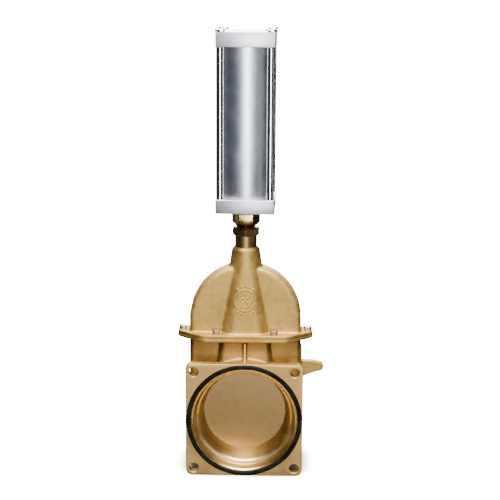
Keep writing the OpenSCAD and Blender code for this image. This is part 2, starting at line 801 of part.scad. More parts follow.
// Two coned spring washers, rim to rim
module gate_springs() {
    seat = disc_gap / 2 + spring_seat - slide_gap;
    r_in = spring_id / 2;
    color(bright_steel) on_stem() for (y = [0, 1]) mirror([0, y, 0]) rotate([90, 0, 0])
        rotate_extrude() polygon([[r_in, seat - spring_t], [spring_r, slide_gap],
            [spring_r, slide_gap + spring_t], [r_in, seat]]);
}

module gate_carrier() {
    color(turned_brass) on_stem() difference() {
        translate([-carrier_w / 2, -carrier_y / 2, carrier_z]) cube([carrier_w, carrier_y, carrier_h]);
        translate([0, 0, carrier_z - 1]) cylinder(r = stem_end_r + slide_gap, h = carrier_h + 2);
        translate([-carrier_w, 0, pin_z]) rotate([0, 90, 0])
            cylinder(d = carrier_pin_d, h = 2 * carrier_w, $fn = 32);
    }
}

module carrier_pin() {
    color(bright_steel) on_stem() translate([-carrier_w / 2, 0, pin_z]) rotate([0, 90, 0])
        cylinder(r = carrier_pin_d / 2 - slide_gap, h = carrier_w, $fn = 32);
}

module stem() {
    color(bright_steel) on_stem() difference() {
        union() {
            translate([0, 0, carrier_z]) cylinder(r = stem_end_r, h = stem_top - carrier_z);
            translate([0, 0, carrier_top]) cylinder(r = stem_r, h = piston_z - carrier_top);
        }
        translate([-carrier_w, 0, pin_z]) rotate([0, 90, 0])
            cylinder(d = carrier_pin_d, h = 2 * carrier_w, $fn = 32);
    }
}

module piston() {
    r = piston_r;
    g = ring_in - fit;
    s = piston_seal_h;
    z1 = lower_seal_z;
    z2 = guide_z;
    z3 = upper_seal_z;
    color(turned_brass) on_stem() rotate_extrude() polygon([
        [stem_end_r + slide_gap, piston_z], [r - 1, piston_z], [r, piston_z + 1],
        [r, z1], [g, z1], [g, z1 + s], [r, z1 + s],
        [r, z2], [guide_in, z2], [guide_in, z2 + guide_h], [r, z2 + guide_h],
        [r, z3], [g, z3], [g, z3 + s], [r, z3 + s],
        [r, piston_top - 1], [r - 1, piston_top], [stem_end_r + slide_gap, piston_top]]);
}

// A lip seal, opening towards the pressure
module lip_seal(z, up) {
    h = piston_seal_h - 2 * slide_gap;
    r_out = bore_r - fit;
    translate([0, 0, z + piston_seal_h / 2]) mirror([0, 0, up ? 0 : 1])
        translate([0, 0, -h / 2]) rotate_extrude()
            polygon([[ring_in, 0], [r_out - 0.8, 0], [r_out, h], [r_out - 1.4, h],
                [(ring_in + r_out) / 2, h * 0.45], [ring_in + 1.2, h], [ring_in, h]]);
}

module piston_seals() {
    color(black_rubber) on_stem() {
        lip_seal(lower_seal_z, false);
        lip_seal(upper_seal_z, true);
    }
}

module piston_guide_ring() {
    color(pale_polymer) on_stem() translate([0, 0, guide_z + slide_gap])
        ring(bore_r - fit, guide_in + slide_gap, guide_h - 2 * slide_gap);
}

module piston_nut() {
    color(bright_steel) on_stem() translate([0, 0, piston_top]) difference() {
        hexagon(piston_nut_af, piston_nut_h);
        translate([0, 0, -1]) cylinder(r = stem_end_r + slide_gap, h = piston_nut_h + 2);
    }
}

valve_body();
bonnet();
bonnet_gasket();
front_flange_o_ring();
rear_flange_o_ring();
front_seat_ring();
rear_seat_ring();
joint_bolts();
joint_washers();
gland_nut();
packing_follower();
packing_rings();
cylinder_adapter();
lower_cap();
upper_cap();
cylinder_tube();
tube_seals();
tie_rods();
tie_rod_nuts();
rod_bush();
rod_seal();
lower_bumper();
upper_bumper();
front_gate_disc();
rear_gate_disc();
gate_springs();
gate_carrier();
carrier_pin();
stem();
piston();
piston_seals();
piston_guide_ring();
piston_nut();
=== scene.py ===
import bpy
import json
import math
from mathutils import Matrix, Vector


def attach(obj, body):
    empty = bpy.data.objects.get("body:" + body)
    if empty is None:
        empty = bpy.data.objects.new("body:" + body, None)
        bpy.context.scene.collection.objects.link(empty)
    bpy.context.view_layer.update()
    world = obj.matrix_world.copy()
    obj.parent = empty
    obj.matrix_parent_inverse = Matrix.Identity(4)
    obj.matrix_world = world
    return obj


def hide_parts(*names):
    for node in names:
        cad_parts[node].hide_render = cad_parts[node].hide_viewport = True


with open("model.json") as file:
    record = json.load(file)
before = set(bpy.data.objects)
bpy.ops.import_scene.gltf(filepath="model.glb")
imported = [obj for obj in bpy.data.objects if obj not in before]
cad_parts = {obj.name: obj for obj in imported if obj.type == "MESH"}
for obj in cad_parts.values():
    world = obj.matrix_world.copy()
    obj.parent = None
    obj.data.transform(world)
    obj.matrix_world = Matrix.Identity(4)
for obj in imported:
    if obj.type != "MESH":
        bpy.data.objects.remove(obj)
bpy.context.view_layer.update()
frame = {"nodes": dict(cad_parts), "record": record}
nodes = frame["nodes"]
mm = 0.001
stemAt = 47  # the stem's axis, in mm behind the front face
stemY = stemAt * mm


def deselect():
    if bpy.context.object and bpy.context.object.mode != "OBJECT":
        bpy.ops.object.mode_set(mode="OBJECT")
    bpy.ops.object.select_all(action="DESELECT")


def only(obj):
    deselect()
    obj.select_set(True)
    bpy.context.view_layer.objects.active = obj


def applied(obj, kind, **settings):
    only(obj)
    modifier = obj.modifiers.new(kind.lower(), kind)
    for key, value in settings.items():
        setattr(modifier, key, value)
    bpy.ops.object.modifier_apply(modifier=modifier.name)


def boolean(obj, other, operation="DIFFERENCE"):
    applied(obj, "BOOLEAN", operation=operation, solver="MANIFOLD", object=other)
    bpy.data.objects.remove(other, do_unlink=True)


def settle(obj, name, nodeNames, body="valve", angle=30, outward=False):
    only(obj)
    bpy.ops.object.transform_apply(location=True, rotation=True, scale=True)
    if outward:
        bpy.ops.object.mode_set(mode="EDIT")
        bpy.ops.mesh.select_all(action="SELECT")
        bpy.ops.mesh.remove_doubles(threshold=1e-7)
        bpy.ops.mesh.normals_make_consistent(inside=False)
        bpy.ops.object.mode_set(mode="OBJECT")
    bpy.ops.object.shade_smooth_by_angle(angle=math.radians(angle))
    obj.name = name
    obj.data.name = name
    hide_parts(*nodeNames)
    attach(obj, body)
    return obj


# Turns a profile of (radius, height) in mm about Z, by extruding one ring. A profile that isn't
# solid ends where it starts.
def lathe(profile, steps, solid=True):
    deselect()
    radius, height = profile[0]
    fill = "NGON" if solid else "NOTHING"
    extrude = bpy.ops.mesh.extrude_region_move if solid else bpy.ops.mesh.extrude_edges_move
    bpy.ops.mesh.primitive_circle_add(vertices=steps, radius=radius * mm, fill_type=fill,
                                      location=(0, 0, height * mm))
    obj = bpy.context.object
    bpy.ops.object.transform_apply(location=True)
    bpy.ops.object.mode_set(mode="EDIT")
    bpy.ops.mesh.select_all(action="SELECT")
    for newRadius, newHeight in profile[1:]:
        extrude(TRANSFORM_OT_translate={"value": (0, 0, (newHeight - height) * mm)})
        factor = newRadius / radius
        bpy.ops.transform.resize(value=(factor, factor, 1), center_override=(0, 0, newHeight * mm))
        radius, height = newRadius, newHeight
    bpy.ops.mesh.select_all(action="SELECT")
    bpy.ops.mesh.remove_doubles(threshold=1e-7)
    bpy.ops.mesh.normals_make_consistent(inside=False)
    bpy.ops.object.mode_set(mode="OBJECT")
    return obj


def placed(obj, x=0, y=0, z=0, turn=(0, 0, 0)):
    only(obj)
    obj.location = (x * mm, y * mm, z * mm)
    obj.rotation_euler = [math.radians(a) for a in turn]
    bpy.ops.object.transform_apply(location=True, rotation=True, scale=True)
    return obj


def block(x, y, z, sizeX, sizeY, sizeZ):
    deselect()
    bpy.ops.mesh.primitive_cube_add(size=1, location=(x * mm, y * mm, z * mm))
    obj = bpy.context.object
    obj.scale = (sizeX * mm, sizeY * mm, sizeZ * mm)
    bpy.ops.object.transform_apply(location=True, rotation=True, scale=True)
    return obj


# Bevels the edges for which keep(middle, direction) is true.
def bevelEdges(obj, width, segments, keep):
    only(obj)
    bpy.ops.object.mode_set(mode="EDIT")
    bpy.ops.mesh.select_all(action="DESELECT")
    bpy.ops.mesh.select_mode(type="EDGE")
    bpy.ops.object.mode_set(mode="OBJECT")
    mesh = obj.data
    for edge in mesh.edges:
        a, b = (mesh.vertices[i].co for i in edge.vertices)
        edge.select = bool(keep((a + b) / 2 / mm, (b - a).normalized()))
    bpy.ops.object.mode_set(mode="EDIT")
    bpy.ops.mesh.bevel(offset=width * mm, segments=segments, affect="EDGES")
    bpy.ops.object.mode_set(mode="OBJECT")


def softened(obj, width, segments, angle=35):
    applied(obj, "BEVEL", width=width * mm, segments=segments, limit_method="ANGLE",
            angle_limit=math.radians(angle), use_clamp_overlap=True)
    return obj


# Hexagon whose ends are turned to a cone, as a lathe leaves a nut.
def hexPrism(flats, height, chamfer, both=False, corner=0.25, flatFront=False):
    reach = flats / 2 / math.cos(math.pi / 6)
    deselect()
    bpy.ops.mesh.primitive_cylinder_add(vertices=6, radius=reach * mm, depth=height * mm,
                                        location=(0, 0, height / 2 * mm))
    obj = bpy.context.object
    bpy.ops.object.transform_apply(location=True)
    placed(obj, turn=(0, 0, 30 if flatFront else 0))
    bevelEdges(obj, corner, 3, lambda middle, way: abs(way.z) > 0.9)
    foot = chamfer if both else 0
    turned = lathe([(reach - 2 * foot, 0 if both else -0.01), (reach + 0.01, foot),
                    (reach + 0.01, height - chamfer), (reach - 2 * chamfer, height)], 128)
    boolean(obj, turned, "INTERSECT")
    softened(obj, 0.15, 2, 12)
    return obj


def nodeCopy(name):
    source = nodes[name]
    obj = source.copy()
    obj.data = source.data.copy()
    obj.parent = None
    obj.matrix_world = source.matrix_world.copy()
    bpy.context.scene.collection.objects.link(obj)
    obj.data.materials.clear()
    only(obj)
    bpy.ops.object.mode_set(mode="EDIT")
    bpy.ops.mesh.select_all(action="SELECT")
    bpy.ops.mesh.remove_doubles(threshold=2e-6)
    bpy.ops.object.mode_set(mode="OBJECT")
    return obj


def joined(obj, *others):
    only(obj)
    for other in others:
        other.select_set(True)
    bpy.ops.object.join()
    return obj


# Copies a piece, each copy with its own mesh, to places (x, y) at height z and joins them.
def copies(obj, places, z=0):
    made = []
    for x, y in places:
        only(obj)
        bpy.ops.object.duplicate(linked=False)
        made.append(placed(bpy.context.object, x, y, z))
    bpy.data.objects.remove(obj, do_unlink=True)
    return joined(made[0], *made[1:])


# Turns a piece drawn about the Z axis by some degrees, and moves it onto the stem's axis.
def aboutStem(obj, turn=0.0):
    return placed(obj, 0, stemAt, 0, (0, 0, turn))


# A material with a Principled shader, and the few nodes that the finishes here are made of.
class Shader:

    def __init__(self, name, colour, metallic, roughness):
        self.material = bpy.data.materials.new(name)
        self.material.use_nodes = True
        self.tree = self.material.node_tree
        self.tree.nodes.clear()
        self.shader = self.add("ShaderNodeBsdfPrincipled")
        out = self.add("ShaderNodeOutputMaterial")
        self.link(self.shader.outputs[0], out.inputs[0])
        self.shader.inputs["Base Color"].default_value = (*colour, 1)
        self.shader.inputs["Metallic"].default_value = metallic
        self.shader.inputs["Roughness"].default_value = roughness
        self.place = self.add("ShaderNodeTexCoord").outputs["Object"]
        self.lastNormal = None

    def add(self, kind, **values):
        node = self.tree.nodes.new(kind)
        for key, value in values.items():
            setattr(node, key, value)
        return node

    def link(self, a, b):
        self.tree.links.new(a, b)

    def math(self, operation, a, b=0.0):
        node = self.add("ShaderNodeMath", operation=operation)
        for socket, value in zip(node.inputs, (a, b)):
            if isinstance(value, (int, float)):
                socket.default_value = value
            else:
                self.link(value, socket)
        return node.outputs[0]

    def noise(self, scale, detail=4.0, rough=0.55, place=None, stretch=None):
        node = self.add("ShaderNodeTexNoise")
        node.inputs["Scale"].default_value = scale
        node.inputs["Detail"].default_value = detail
        node.inputs["Roughness"].default_value = rough
        source = place or self.place
        if stretch:
            mapping = self.add("ShaderNodeMapping")
            mapping.inputs["Scale"].default_value = stretch
            self.link(source, mapping.inputs["Vector"])
            source = mapping.outputs[0]
        self.link(source, node.inputs["Vector"])
        return node.outputs["Fac"]

    def ramp(self, factor, stops):
        node = self.add("ShaderNodeValToRGB")
        elements = node.color_ramp.elements
        while len(elements) > 1:
            elements.remove(elements[-1])
        elements[0].position = stops[0][0]
        elements[0].color = (*stops[0][1], 1)
        for position, colour in stops[1:]:
            element = elements.new(position)
            element.color = (*colour, 1)
        self.link(factor, node.inputs[0])
        return node.outputs[0]

    def range(self, factor, low, high, fromLow=0.3, fromHigh=0.7):
        node = self.add("ShaderNodeMapRange")
        node.inputs["From Min"].default_value = fromLow
        node.inputs["From Max"].default_value = fromHigh
        node.inputs["To Min"].default_value = low
        node.inputs["To Max"].default_value = high
        self.link(factor, node.inputs["Value"])
        return node.outputs[0]

    def blend(self, factor, a, b, kind="MIX"):
        node = self.add("ShaderNodeMix", data_type="RGBA", blend_type=kind)
        self.link(factor, node.inputs[0])
        for socket, value in zip((node.inputs[6], node.inputs[7]), (a, b)):
            if isinstance(value, tuple):
                socket.default_value = (*value, 1)
            else:
                self.link(value, socket)
        return node.outputs[2]

    def bump(self, height, depth):
        node = self.add("ShaderNodeBump")
        node.inputs["Strength"].default_value = 1.0
        node.inputs["Distance"].default_value = depth
        self.link(height, node.inputs["Height"])
        if self.lastNormal:
            self.link(self.lastNormal, node.inputs["Normal"])
        self.lastNormal = node.outputs[0]
        self.link(self.lastNormal, self.shader.inputs["Normal"])

    def colour(self, socket):
        self.link(socket, self.shader.inputs["Base Color"])

    def roughness(self, socket):
        self.link(socket, self.shader.inputs["Roughness"])

    # Distance from the port's axis, or from the stem's axis when axisY is given.
    def axisDistance(self, axisY=None):
        at = self.position()
        first = at["X"]
        second = at["Z"] if axisY is None else self.math("SUBTRACT", at["Y"], axisY)
        squares = self.math("ADD", self.math("MULTIPLY", first, first), self.math("MULTIPLY", second, second))
        return self.math("SQRT", squares)

    def position(self):
        parts = self.add("ShaderNodeSeparateXYZ")
        self.link(self.place, parts.inputs[0])
        return parts.outputs

    def stretched(self, amount, rotation, **sides):
        around = self.add("ShaderNodeCombineXYZ")
        for axis, value in sides.items():
            self.link(value, around.inputs[axis])
        self.link(around.outputs[0], self.shader.inputs["Tangent"])
        self.shader.inputs["Anisotropic"].default_value = amount
        self.shader.inputs["Anisotropic Rotation"].default_value = rotation

    # Stretches highlights round the stem's axis, as lines drawn along a tube do.
    def drawnLines(self, amount):
        at = self.position()
        self.stretched(amount, 0.0, X=self.math("SUBTRACT", stemY, at["Y"]), Y=at["X"])

    # Stretches highlights across the rings that a lathe leaves round the port's axis.
    def turnedLines(self, amount):
        at = self.position()
        self.stretched(amount, 0.25, X=at["Z"], Z=self.math("MULTIPLY", at["X"], -1.0))

    # Puts a value on the first axis, so that noise read there varies along one line only.
    def along(self, value):
        node = self.add("ShaderNodeCombineXYZ")
        self.link(value, node.inputs[0])
        return node.outputs[0]


# Painted shade darkens the casting below the joint flange, where the flange's shadow falls. Heights are in
# metres.
underFlangeShade = {"from": 0.056, "full": 0.080, "until": 0.0828, "gone": 0.0832, "tint": (0.52, 0.46, 0.42)}


# The grain of a sand casting, with painted shade in a band below the joint flange.
def castFinish(name, pale, dark, rough, grainDepth=0.00022):
    s = Shader(name, pale, 1.0, rough)
    broad = s.noise(14, 5, 0.6)
    fine = s.noise(120, 6, 0.65)
    mixed = s.math("ADD", s.math("MULTIPLY", broad, 0.6), s.math("MULTIPLY", fine, 0.4))
    tone = s.ramp(mixed, [(0.36, dark), (0.52, pale), (0.66, tuple(min(1, c * 1.1) for c in pale))])
    height = s.position()["Z"]
    # Painted shade: the colour is darkened between these heights, below the joint flange.
    paintedShade = s.math("MULTIPLY", s.range(height, 0.0, 1.0, underFlangeShade["from"], underFlangeShade["full"]),
                       s.range(height, 1.0, 0.0, underFlangeShade["until"], underFlangeShade["gone"]))
    s.colour(s.blend(paintedShade, tone, underFlangeShade["tint"], "MULTIPLY"))
    s.roughness(s.range(fine, rough - 0.06, rough + 0.1))
    s.bump(s.noise(900, 3, 0.6), grainDepth * 0.35)
    s.bump(s.noise(260, 4, 0.6), grainDepth)
    return s


# Fine rings, as a lathe leaves them.
def turnedFinish(name, pale, dark, rough, axisY=None, lines=2600, depth=0.00001, stainScale=30):
    s = Shader(name, pale, 1.0, rough)
    rings = s.noise(lines, 3, 0.7, s.along(s.axisDistance(axisY)))
    stain = s.noise(stainScale, 4, 0.6)
    s.colour(s.ramp(s.math("ADD", s.math("MULTIPLY", rings, 0.35), s.math("MULTIPLY", stain, 0.65)),
                    [(0.36, dark), (0.6, pale)]))
    s.roughness(s.range(stain, rough * 0.8, rough * 1.25))
    s.bump(rings, depth)
    return s


# Fine lines drawn or ground along a piece.
def lengthFinish(name, pale, dark, rough, stretch, depth=0.000008):
    s = Shader(name, pale, 1.0, rough)
    lines = s.noise(900, 3, 0.6, stretch=stretch)
    stain = s.noise(40, 3, 0.6)
    s.colour(s.ramp(s.math("ADD", s.math("MULTIPLY", lines, 0.4), s.math("MULTIPLY", stain, 0.6)),
                    [(0.38, dark), (0.6, pale)]))
    s.roughness(s.range(stain, rough * 0.92, rough * 1.1))
    s.bump(lines, depth)
    return s


print("stage: finishes")
castBrass = castFinish("CastBrass", (0.60, 0.385, 0.11), (0.44, 0.26, 0.066), 0.54)
machinedBrass = turnedFinish("MachinedBrass", (0.72, 0.47, 0.165), (0.62, 0.375, 0.115), 0.48)
boreBrass = turnedFinish("BoreBrass", (0.56, 0.395, 0.155), (0.44, 0.295, 0.105), 0.33, lines=700,
                         depth=0.000002)
gateBrass = turnedFinish("GateBrass", (0.62, 0.385, 0.155), (0.56, 0.34, 0.13), 0.37, depth=0.00003,
                         stainScale=420)
boreBrass.turnedLines(0.45)
innerBrass = turnedFinish("InnerBrass", (0.56, 0.38, 0.18), (0.46, 0.30, 0.13), 0.35, stemY)
adapterBrass = lengthFinish("AdapterBrass", (0.48, 0.325, 0.105), (0.39, 0.25, 0.07), 0.20, (1, 1, 8))
glandBrass = lengthFinish("GlandBrass", (0.44, 0.305, 0.125), (0.30, 0.19, 0.063), 0.40, (1, 1, 6))
lowerAlloy = lengthFinish("LowerCapAlloy", (0.80, 0.785, 0.83), (0.72, 0.705, 0.75), 0.43, (1, 1, 12),
                          depth=0.00002)
upperAlloy = lengthFinish("UpperCapAlloy", (0.93, 0.95, 1.0), (0.88, 0.90, 0.98), 0.43, (1, 1, 12))
tubeAlloy = lengthFinish("TubeAlloy", (0.80, 0.86, 0.93), (0.74, 0.81, 0.88), 0.33, (1, 1, 0.02),
                         depth=0.000001)
tubeAlloy.drawnLines(0.7)
chrome = lengthFinish("RodChrome", (0.84, 0.85, 0.87), (0.78, 0.79, 0.82), 0.07, (1, 1, 0.05), depth=0.000001)
boltSteel = lengthFinish("BoltSteel", (0.66, 0.63, 0.61), (0.46, 0.43, 0.41), 0.28, (1, 1, 5))
# A rougher copy of the bolt steel whose darker, browner colour is painted shade.
boltDullShaded = lengthFinish("BoltDullShaded", (0.46, 0.37, 0.33), (0.30, 0.235, 0.20), 0.42, (1, 1, 5))
springSteel = turnedFinish("SpringSteel", (0.36, 0.36, 0.38), (0.26, 0.26, 0.28), 0.3)

rubber = Shader("BlackRubber", (0.010, 0.008, 0.007), 0.0, 0.45)
rubber.shader.inputs["Specular IOR Level"].default_value = 0.05
rubber.roughness(rubber.range(rubber.noise(220, 4), 0.38, 0.55))
rubber.colour(rubber.ramp(rubber.noise(90, 4),
                          [(0.35, (0.003, 0.0022, 0.0016)), (0.65, (0.008, 0.006, 0.0045))]))
rubber.bump(rubber.noise(1500, 2), 0.00003)

polymer = Shader("PalePolymer", (0.80, 0.79, 0.74), 0.0, 0.4)
polymer.colour(polymer.ramp(polymer.noise(60, 4), [(0.35, (0.74, 0.73, 0.67)), (0.65, (0.83, 0.82, 0.78))]))
polymer.bump(polymer.noise(900, 2), 0.00002)

fibre = Shader("GasketFibre", (0.12, 0.10, 0.08), 0.0, 0.85)
fibre.colour(fibre.ramp(fibre.noise(700, 5), [(0.35, (0.07, 0.06, 0.05)), (0.65, (0.19, 0.16, 0.13))]))
fibre.bump(fibre.noise(1200, 3), 0.00006)

slotFinish = {
    "cast_brass": castBrass, "turned_brass": innerBrass, "bright_brass": adapterBrass,
    "dark_brass": glandBrass, "lower_cap_alloy": lowerAlloy, "upper_cap_alloy": upperAlloy,
    "tube_alloy": tubeAlloy, "rod_chrome": chrome, "bolt_steel": boltSteel, "spring_steel": springSteel,
    "black_rubber": rubber, "pale_polymer": polymer, "gasket_fibre": fibre,
}
for entry in frame["record"]["subparts"]:
    mesh = nodes[entry["node"]].data
    mesh.materials.clear()
    mesh.materials.append(slotFinish[entry["material_slot"]].material)
for name in ("front_gate_disc", "rear_gate_disc"):
    nodes[name].data.materials[0] = gateBrass.material


def painted(obj, *shaders):
    obj.data.materials.clear()
    for shader in shaders:
        obj.data.materials.append(shader.material)


def paintWhere(obj, index, test):
    for face in obj.data.polygons:
        if test(face.center / mm, face.normal):
            face.material_index = index


# Rounds a sharp solid into a casting: its edges wear off and its corners fill.
def castForm(obj, voxel, rounds, keep):
    size = voxel * 1.0
    applied(obj, "REMESH", mode="VOXEL", voxel_size=size * mm)
    applied(obj, "SMOOTH", factor=0.5, iterations=rounds)
    applied(obj, "DECIMATE", ratio=keep)
    return obj


# Valve body. Sizes are in mm, and its port runs along Y from the front face.
body = {
    "voxel": 0.9, "rounds": 4, "keep": 0.3, "depth": 94, "cutBack": 0.4,
    "barrelR": 61, "barrelFrom": 4, "barrelLength": 86,
    "flange": 128, "flangeT": 10, "topCorner": 6, "lowerCorner": 6.4,
    "boltAt": 55, "holeR": 5.25, "mouthOfHoleR": 5.8, "bossR": 6.5, "bossH": 8, "bossFrom": (1, 85),
    "jointLow": 83.15, "jointTop": 86.7, "tapR": 2.55, "tapLow": 78,
    "slotWidth": 112, "slotT": 18.8, "pocketR": 54.8,
    "entryEdgeR": 57.45, "grooveR": 63.5, "grooveInnerR": 58.4, "grooveDepth": 3.8,
    "recessR": 50.15, "recessInnerR": 47.05, "recessFrom": 35.2, "recessTo": 38,
    "boreR": 57.6, "boreTo": 37.55,
    "port": [(57.45, 0.0), (57.2, 0.25), (56.2, 1.25), (56.0, 1.6), (56, 13.7), (55.7, 14), (52.8, 14),
             (52.3, 14.15), (50.75, 15.7), (50.45, 16.25), (45.5, 33.6), (45.5, 38.2)],
}
joint = {
    "earX": 64, "earR": 11, "cornerX": 42, "cornerY": 10, "cornerR": 18,
    "earBoltX": 69, "boltX": 31.5, "boltY": 18.8,
}
boltPlaces = [(x * joint["earBoltX"], stemAt) for x in (-1, 1)]
boltPlaces += [(x * joint["boltX"], stemAt + y * joint["boltY"]) for y in (-1, 1) for x in (-1, 1)]
print("stage: valve body")


def flangePlate(y):
    plate = block(0, y, 0, body["flange"], body["flangeT"], body["flange"])
    bevelEdges(plate, body["topCorner"], 8, lambda m, way: abs(way.y) > 0.9 and m.z > 0)
    bevelEdges(plate, body["lowerCorner"], 2, lambda m, way: abs(way.y) > 0.9 and m.z < 0)
    return softened(plate, 0.5, 3)


def alongPort(obj, y, x=0, z=0, flip=False):
    return placed(obj, x, y, z, (90 if flip else -90, 0, 0))


# The joint flange: a hull round two ears and four corners.
def jointPlate(low, high):
    rounds = [(x * joint["earX"], 0, joint["earR"]) for x in (-1, 1)]
    rounds += [(x * joint["cornerX"], y * joint["cornerY"], joint["cornerR"])
               for x in (-1, 1) for y in (-1, 1)]
    posts = [placed(lathe([(r, low), (r, high)], 96), x, y + stemAt) for x, y, r in rounds]
    plate = joined(posts[0], *posts[1:])
    only(plate)
    bpy.ops.object.mode_set(mode="EDIT")
    bpy.ops.mesh.select_all(action="SELECT")
    bpy.ops.mesh.convex_hull()
    bpy.ops.mesh.dissolve_limited(angle_limit=math.radians(0.5))
    bpy.ops.object.mode_set(mode="OBJECT")
    return plate


def boltHoles(radius, low, high):
    made = [placed(lathe([(radius, low), (radius, high)], 32), x, y) for x, y in boltPlaces]
    return joined(made[0], *made[1:])


# A ring-shaped recess, sunk from low to high.
def ringRecess(outer, inner, low, high, steps):
    return lathe([(outer, low), (outer, high), (inner, high), (inner, low), (outer, low)], steps, False)


casting = nodeCopy("valve_body")
barrel = lathe([(body["barrelR"], 0), (body["barrelR"], body["barrelLength"])], 96)
casting = joined(casting, alongPort(barrel, body["barrelFrom"]))
corners = [(x * body["boltAt"], z * body["boltAt"]) for x in (-1, 1) for z in (-1, 1)]
for x, z in corners:
    for y in body["bossFrom"]:
        boss = lathe([(body["bossR"], 0), (body["bossR"], body["bossH"])], 24)
        casting = joined(casting, alongPort(boss, y, x, z))
castForm(casting, body["voxel"], body["rounds"], body["keep"])
# Both worn end faces are cut back, and crisp plates go on in their place.
for y in (body["cutBack"] - 50, body["depth"] + 50 - body["cutBack"]):
    boolean(casting, block(0, y, 0, 300, 100, 300))
for y in (body["flangeT"] / 2, body["depth"] - body["flangeT"] / 2):
    boolean(casting, flangePlate(y), "UNION")
boolean(casting, softened(jointPlate(body["jointLow"], body["jointTop"]), 0.3, 2), "UNION")
boolean(casting, block(0, stemAt, body["jointTop"] + 20, 200, 120, 40))

edge, holeR, mouthR, thick = (body[k] for k in ("entryEdgeR", "holeR", "mouthOfHoleR", "flangeT"))
holeProfile = [(mouthR, -2), (mouthR, -0.01), (holeR, 0.5), (holeR, thick - 0.5),
               (mouthR, thick + 0.01), (mouthR, thick + 2)]
for flip in (False, True):
    start = body["depth"] if flip else 0
    boolean(casting, alongPort(lathe(body["port"], 192), start, flip=flip))
    boolean(casting, alongPort(lathe([(edge, -2), (edge, 0.02)], 192), start, flip=flip))
    groove = ringRecess(body["grooveR"], body["grooveInnerR"], -2, body["grooveDepth"], 192)
    boolean(casting, alongPort(groove, start, flip=flip))
    recess = ringRecess(body["recessR"], body["recessInnerR"], body["recessFrom"], body["recessTo"], 128)
    boolean(casting, alongPort(recess, start, flip=flip))
    for x, z in corners:
        boolean(casting, alongPort(lathe(holeProfile, 48), start, x, z, flip))
# The slot and the round pocket in which the gate moves
boolean(casting, block(0, stemAt, 60, body["slotWidth"], body["slotT"], 120))
pocket = lathe([(body["pocketR"], 0), (body["pocketR"], body["slotT"])], 128)
boolean(casting, alongPort(pocket, stemAt - body["slotT"] / 2))
boolean(casting, boltHoles(body["tapR"], body["tapLow"], 90))
casting = settle(casting, "valveBodyCasting", ["valve_body"], angle=28)
painted(casting, castBrass, machinedBrass, boreBrass)
paintWhere(casting, 1, lambda c, n: (c.y < 0.3 or c.y > body["depth"] - 0.3) and abs(n.y) > 0.9)
paintWhere(casting, 2, lambda c, n: math.hypot(c.x, c.z) < body["boreR"]
           and (c.y < body["boreTo"] or c.y > body["depth"] - body["boreTo"]))

# Bonnet. The front of its swelling leans back by rise over height.
bonnet = {
    "voxel": 0.9, "rounds": 7, "keep": 0.3, "low": 87.0, "top": 90.55, "boltR": 2.8,
    "slotWidth": 112, "slotT": 18.8, "slotTop": 105, "domeR": 56,
    "stemR": 6.05, "packingR": 10, "packingZ": 165.5, "frontAt": 23, "rise": 5.3, "height": 76.4,
}
# Raised rings and pips on the front of the swelling. A ring has a radius, half its width and a
# height, and a pip has the radii of its foot and tip and a height.
relief = {
    "z": 128.5, "rings": ((11.6, 0.9, 0.95), (7.6, 0.7, 0.8)), "middleR": 3.6,
    "arcs": (55, 235), "arcPips": 5, "arcStep": 17.5, "arcR": 15.4,
    "arcPip": (1.1, 0.6, 0.8), "middlePip": (1.2, 0.7, 0.75),
}
print("stage: bonnet")
dome = nodeCopy("bonnet")
castForm(dome, bonnet["voxel"], bonnet["rounds"], bonnet["keep"])
boolean(dome, softened(jointPlate(bonnet["low"], bonnet["top"]), 0.45, 3), "UNION")
boolean(dome, block(0, stemAt, bonnet["low"] - 20, 200, 120, 40))
boolean(dome, block(0, stemAt, bonnet["slotTop"] - 12.5, bonnet["slotWidth"], bonnet["slotT"], 25))
slotEnd = lathe([(bonnet["domeR"], 0), (bonnet["domeR"], bonnet["slotT"])], 128)
boolean(dome, placed(slotEnd, 0, stemAt - bonnet["slotT"] / 2, bonnet["slotTop"], (-90, 0, 0)))
stemR, packingR, packingZ = bonnet["stemR"], bonnet["packingR"], bonnet["packingZ"]
stemBore = lathe([(stemR, 100), (stemR, packingZ), (packingR, packingZ), (packingR, 190)], 64)
boolean(dome, placed(stemBore, 0, stemAt))
boolean(dome, boltHoles(bonnet["boltR"], 80, 95))
slope = math.degrees(math.atan(bonnet["rise"] / bonnet["height"]))
faceY = stemAt - (bonnet["frontAt"] - (relief["z"] - bonnet["top"]) * bonnet["rise"] / bonnet["height"])


# Sets a small raised form, drawn about Z, on the sloping front of the swelling.
def onBulge(obj, x=0.0, up=0.0):
    placed(obj, x, up)
    return placed(obj, 0, faceY, relief["z"], (90 - slope, 0, 0))


def raisedRing(radius, half, height):
    ring = lathe([(radius - half, -1.5), (radius + half, -1.5), (radius + half * 0.6, height),
                  (radius - half * 0.6, height), (radius - half, -1.5)], 72, False)
    return onBulge(softened(ring, 0.2, 2))


def pip(radius, tip, height, steps, reach, angle):
    way = math.radians(angle)
    return onBulge(lathe([(radius, -2), (radius, 0.3), (tip, height)], steps),
                   reach * math.cos(way), reach * math.sin(way))


for radius, half, height in relief["rings"]:
    boolean(dome, raisedRing(radius, half, height), "UNION")
pips = [pip(*relief["arcPip"], 16, relief["arcR"], start + step * relief["arcStep"])
        for start in relief["arcs"] for step in range(relief["arcPips"])]
pips += [pip(*relief["middlePip"], 20, relief["middleR"], 45 + step * 90) for step in range(4)]
boolean(dome, joined(pips[0], *pips[1:]), "UNION")
dome = settle(dome, "bonnetCasting", ["bonnet"], angle=28)
painted(dome, castBrass)

# Bolts and washers of the joint
fastener = {"flats": 8, "headH": 3.5, "chamfer": 0.45, "shankR": 2.5, "tipR": 2.1, "length": 10.7,
            "seat": 90.55, "washerR": 4.4, "washerBore": 2.55, "washerT": 1.1}
print("stage: fasteners")


# The bolts and washers away from the stem's plane are rougher, and their darker, browner colour is painted
# shade.
def shadedOffStem(obj):
    painted(obj, boltSteel, boltDullShaded)
    paintWhere(obj, 1, lambda c, n: abs(c.y - stemAt) > 10)


